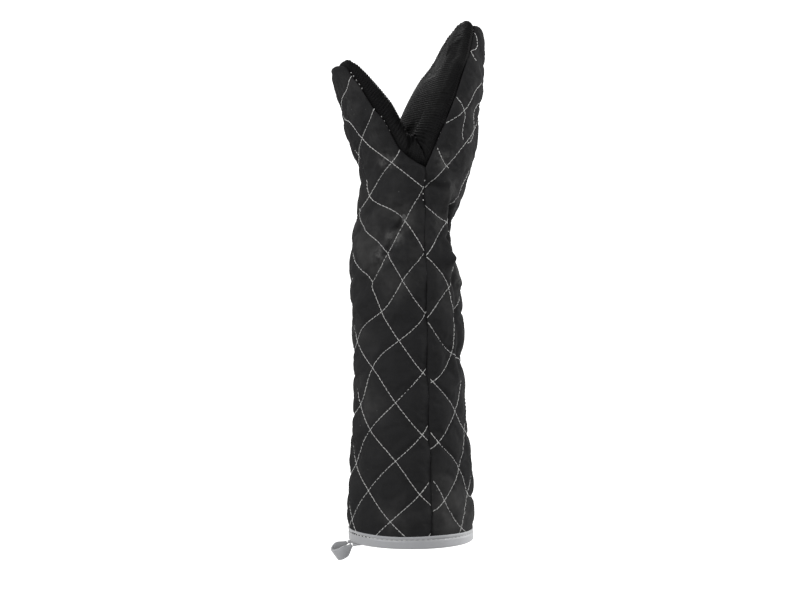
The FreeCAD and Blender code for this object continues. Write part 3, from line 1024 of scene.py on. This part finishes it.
def ring_sweep(profile, swell, turns):
    """Points of an (outward, height) profile carried round the forearm's line, and their faces."""
    points = np.empty((turns, len(profile), 3))
    for i in range(turns):
        angle = 2 * math.pi * i / turns
        for k, (out, high) in enumerate(profile):
            radius = out + swell(angle, high)
            points[i, k] = (radius * math.cos(angle), radius * math.sin(angle), high)
    corner = np.arange(turns * len(profile)).reshape(turns, len(profile))
    ahead, beside = np.roll(corner, -1, axis=0), np.roll(corner, -1, axis=1)
    faces = np.stack([corner, ahead, np.roll(ahead, -1, axis=1), beside], axis=-1)
    return points, faces.reshape(-1, 4)


def rounded(points, radius, steps=4):
    """A closed outline with its corners rounded, anticlockwise or clockwise as given."""
    points = [np.array(p, float) for p in points]
    out = []
    for i, here in enumerate(points):
        before, after = points[i - 1] - here, points[(i + 1) % len(points)] - here
        cut = min(radius, 0.45 * np.linalg.norm(before), 0.45 * np.linalg.norm(after))
        a = here + before / np.linalg.norm(before) * cut
        b = here + after / np.linalg.norm(after) * cut
        for s in range(steps + 1):
            t = s / steps
            out.append(tuple((1 - t) ** 2 * a + 2 * t * (1 - t) * here + t * t * b))
    return out


class MITT_OT_binding(bpy.types.Operator):
    """Folds the grey tape over the raw edge of the cuff and sews it down"""
    bl_idname = "mitt.binding"
    bl_label = "Cuff Binding"

    def execute(self, context):
        sizes = context.scene.mitt_sizes
        outer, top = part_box("cuff_binding")[1][0], sizes.binding_height
        tape, inner = 0.0008, outer - 0.0086
        groove = 0.72  # share of the binding's height that the stitches are at
        # enough heights on the outer face for the row of stitches to pull a groove into it
        face = [(outer + 0.0002 * share, share * top) for share in (0.3, 0.56, 0.65, 0.70, 0.74, 0.79, 0.88)]
        profile = rounded([(outer, 0.0)] + face + [
            (outer + 0.0002, top), (outer - tape, top), (outer - tape, tape),
            (inner + tape, tape), (inner + tape, top), (inner, top), (inner, 0.0),
        ], 0.0016)

        def ripple(angle, high):
            share = high / top
            pull = -0.0006 * math.exp(-((share - groove) / 0.07) ** 2)
            slow, quick = 0.00022 * math.sin(5 * angle + 0.6), 0.00012 * math.sin(17 * angle)
            return slow * share + quick * share + pull

        turns = 420
        points, faces = ring_sweep(profile, ripple, turns)
        wave = np.array([0.00025 * math.sin(4 * math.pi * 2 * i / turns + 1) for i in range(turns)])
        points[:, :, 2] += wave[:, None] * (points[:, :, 2] > tape)
        flat = np.zeros_like(points)
        flat[:, :, 0] = np.linspace(0, 2 * math.pi * outer, turns)[:, None]
        flat[:, :, 1] = points[:, :, 2]
        piece = new_piece("cuff_binding_tape", points, faces, [finish_of("binding_tape")], flat=flat)
        face_out(piece)
        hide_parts("cuff_binding")
        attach(piece, "sleeve")

        path, normals = [], []
        for i in range(turns + 1):
            angle = 2 * math.pi * i / turns
            radius = outer + 0.00025 + ripple(angle, groove * top)
            height = groove * top + 0.00025 * math.sin(6 * angle)
            path.append((radius * math.cos(angle), radius * math.sin(angle), height))
            normals.append((math.cos(angle), math.sin(angle), 0))
        random = np.random.default_rng(31)
        stitches = stitches_along(path, normals, sizes.binding_stitch, 0.5, 0.03, random)
        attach(build_thread("binding_top_stitch", stitches, 0.0007, 0.0025, "binding_thread"), "sleeve")
        return {"FINISHED"}


def face_out(piece):
    """Turns a closed mesh's faces outwards."""
    mesh = bmesh.new()
    mesh.from_mesh(piece.data)
    bmesh.ops.recalc_face_normals(mesh, faces=mesh.faces)
    mesh.to_mesh(piece.data)
    mesh.free()


def tape_piece(name, centres, across, thickness_way, widths, thickness):
    """A strip of tape as a closed mesh, with rounded edges, along a line of centres."""
    points, spots, faces = [], [], []
    run = 0.0
    for i, centre in enumerate(centres):
        if i:
            run += float(np.linalg.norm(centre - centres[i - 1]))
        for w, t in TAPE_OUTLINE:
            points.append(centre + across[i] * w * widths[i] / 2 + thickness_way[i] * t * thickness / 2)
            spots.append((run, w * widths[i] / 2, 0))
    n = len(TAPE_OUTLINE)
    for i in range(len(centres) - 1):
        for k in range(n):
            a, b = i * n + k, i * n + (k + 1) % n
            faces.append((a, b, b + n, a + n))
    faces.append(tuple(range(n - 1, -1, -1)))
    last = (len(centres) - 1) * n
    faces.append(tuple(range(last, last + n)))
    piece = new_piece(name, np.array(points), faces, [finish_of("binding_tape")], flat=np.array(spots))
    face_out(piece)
    return piece


class MITT_OT_loop(bpy.types.Operator):
    """Bends the hanging loop from tape and sews its ends under the hem"""
    bl_idname = "mitt.loop"
    bl_label = "Hanging Loop"

    def execute(self, context):
        sizes = context.scene.mitt_sizes
        hinge = np.array(JOINTS["loop_swing"]["pos_m"], float)
        half_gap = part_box("hanging_loop")[1][1] - sizes.tape_thickness / 2
        droop = math.radians(35)  # how far the loop hangs below level
        out = np.array([-math.cos(droop), 0, -math.sin(droop)])
        normal = np.array([-math.sin(droop), 0, math.cos(droop)])
        side = np.array([0.0, 1.0, 0.0])
        # the tape starts beside the hinge and widens from its narrow, gathered end
        root, root_width, full_at = 0.0004, 0.0030, 0.0090
        bend = sizes.loop_length - half_gap
        # places along the tape, as (out from the hinge, sideways, how far round the end)
        places = []
        legs, turns = 14, 22
        for i in range(legs):
            places.append((root + (bend - root) * i / legs, half_gap, 0.0))
        for i in range(turns + 1):
            angle = math.pi * i / turns
            places.append((bend + half_gap * math.sin(angle), half_gap * math.cos(angle), angle))
        for i in range(legs):
            places.append((bend - (bend - root) * (i + 1) / legs, -half_gap, math.pi))
        centres, across, thick, widths = [], [], [], []
        for u, y, angle in places:
            grow = float(smoothstep(0.0, full_at, u))
            widths.append(root_width + (sizes.tape_width - root_width) * grow)
            sag = 0.0012 * math.sin(math.pi * min(u / sizes.loop_length, 1)) * (1 if y > 0 else -0.6)
            centres.append(hinge + out * u + side * y * (0.92 + 0.08 * grow) + normal * sag)
            lean = 0.10 * math.sin(angle * 2) + 0.14 * (1 - grow) * (1 if y > 0 else -1)
            tangent_side = out * math.sin(angle) + side * math.cos(angle)
            across.append(normal * math.cos(lean) + tangent_side * math.sin(lean))
            thick.append(tangent_side * math.cos(lean) - normal * math.sin(lean))
        loop = tape_piece("loop_tape", centres, across, thick, widths, sizes.tape_thickness)
        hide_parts("hanging_loop")
        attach(loop, "loop")

        tail_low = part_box("hanging_loop_tails")[0]
        edge = tail_low[0]
        for y, name in ((-half_gap, "near_loop_tail"), (half_gap, "far_loop_tail")):
            centres, across, thick, widths = [], [], [], []
            for i in range(12):
                t = i / 11
                x = hinge[0] + 0.0004 + (edge + 0.0066 - hinge[0]) * t
                z = hinge[2] + (tail_low[2] + 0.0006 - hinge[2]) * float(smoothstep(0, 0.35, t))
                centres.append(np.array([x, y, z]))
                twist = (1 - float(smoothstep(0.0, 0.4, t))) * math.radians(60)
                across.append(np.array([0, math.cos(twist), math.sin(twist)]))
                thick.append(np.array([0, -math.sin(twist), math.cos(twist)]))
                widths.append(0.0024 + 0.0026 * float(smoothstep(0.05, 0.45, t)))
            tail = tape_piece(name, centres, across, thick, widths, sizes.tape_thickness)
            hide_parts("hanging_loop_tails")
            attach(tail, "sleeve")

        tack = []
        for y in (-half_gap, half_gap):
            for i in range(9):
                x = edge + 0.0009 + i * 0.0006
                middle = np.array([x, y, tail_low[2] - 0.0001])
                tack.append((middle, np.array([0.12 * (-1) ** i, 1.0, 0]), np.array([0, 0, -1.0])))
        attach(build_thread("bar_tack_thread", tack, 0.0005, 0.0034, "loop_bar_tack"), "sleeve")
        return {"FINISHED"}


class MITT_OT_stage(bpy.types.Operator):
    """Sets the pale floor and backdrop, the soft lights and the camera"""
    bl_idname = "mitt.stage"
    bl_label = "Stage"

    def execute(self, context):
        scene = context.scene
        self.backdrop(scene)
        world = bpy.data.worlds.new("studio")
        world.use_nodes = True
        sky = world.node_tree.nodes["Background"].inputs
        sky["Color"].default_value = grey(1.0)
        sky["Strength"].default_value = 1.0
        scene.world = world
        for lamp in LAMPS:
            self.lamp(scene, *lamp)
        back = np.array([-math.sin(CAMERA_TURN), -math.cos(CAMERA_TURN), 0])
        right = np.array([math.cos(CAMERA_TURN), -math.sin(CAMERA_TURN), 0])
        aim = right * CAMERA_AIM[0] + np.array([0, 0, CAMERA_AIM[1]])
        camera = bpy.data.objects.new("camera", bpy.data.cameras.new("camera"))
        camera.data.lens = CAMERA_LENS
        camera.data.sensor_width = 36
        camera.location = aim + back * CAMERA_AWAY
        camera.rotation_euler = (math.radians(90), 0, -CAMERA_TURN)
        scene.collection.objects.link(camera)
        scene.camera = camera
        scene.view_settings.view_transform = "Standard"
        return {"FINISHED"}

    def lamp(self, scene, name, place, size, power):
        light = bpy.data.lights.new(name, "AREA")
        light.shape = "DISK"
        light.size = size
        light.energy = power
        lamp = bpy.data.objects.new(name, light)
        lamp.location = place
        way = Vector(LAMP_AIM) - Vector(place)
        lamp.rotation_euler = way.to_track_quat("-Z", "Y").to_euler()
        scene.collection.objects.link(lamp)

    def backdrop(self, scene):
        """A round floor that curves up into a wall on every side, the same from each view."""
        floor_height, radius, wall, bend = -1.4, 5.0, 4.0, 1.2
        profile = [(0.0, floor_height), (radius - bend, floor_height)]
        for i in range(1, 13):
            angle = math.pi / 2 * i / 12
            out, high = bend * math.sin(angle), bend * math.cos(angle)
            profile.append((radius - bend + out, floor_height + bend - high))
        profile.append((radius, wall))
        turns = 72
        points = [(0, 0, floor_height)]
        for i in range(turns):
            angle = 2 * math.pi * i / turns
            for out, high in profile[1:]:
                points.append((out * math.cos(angle), out * math.sin(angle), high))
        count = len(profile) - 1
        faces = []
        for i in range(turns):
            j = (i + 1) % turns
            faces.append((0, 1 + i * count, 1 + j * count))
            for k in range(count - 1):
                a, b = 1 + i * count + k, 1 + j * count + k
                faces.append((a, a + 1, b + 1, b))
        finish = Finish("paper")
        finish.surface(Base_Color=grey(0.3), Roughness=0.9, Emission_Color=grey(1.0), Emission_Strength=1.0)
        floor = new_piece("backdrop", np.array(points), faces, [finish.material])


class MITT_PT_sidebar(bpy.types.Panel):
    """Lists the steps that build the mitt"""
    bl_idname = "MITT_PT_sidebar"
    bl_label = "Oven Mitt"
    bl_space_type = "VIEW_3D"
    bl_region_type = "UI"
    bl_category = "Mitt"

    def draw(self, context):
        for operator in OPERATORS:
            self.layout.operator(operator.bl_idname)
        for group in (context.scene.mitt_sizes, context.scene.mitt_looks):
            box = self.layout.box()
            for name in group.bl_rna.properties.keys():
                if name not in ("rna_type", "name"):
                    box.prop(group, name)


OPERATORS = (
    MITT_OT_back_panel,
    MITT_OT_thumb_panel,
    MITT_OT_grip,
    MITT_OT_quilting_thread,
    MITT_OT_mouth_thread,
    MITT_OT_side_seams,
    MITT_OT_binding,
    MITT_OT_loop,
    MITT_OT_stage,
)
CLASSES = (MittSizes, MittLooks) + OPERATORS + (MITT_PT_sidebar,)


def register():
    for made in CLASSES:
        bpy.utils.register_class(made)
    bpy.types.Scene.mitt_sizes = bpy.props.PointerProperty(type=MittSizes)
    bpy.types.Scene.mitt_looks = bpy.props.PointerProperty(type=MittLooks)


def unregister():
    del bpy.types.Scene.mitt_sizes
    del bpy.types.Scene.mitt_looks
    for made in reversed(CLASSES):
        bpy.utils.unregister_class(made)


def main():
    register()
    for operator in OPERATORS:
        group, name = operator.bl_idname.split(".")
        getattr(getattr(bpy.ops, group), name)()


if __name__ == "__main__":
    main()
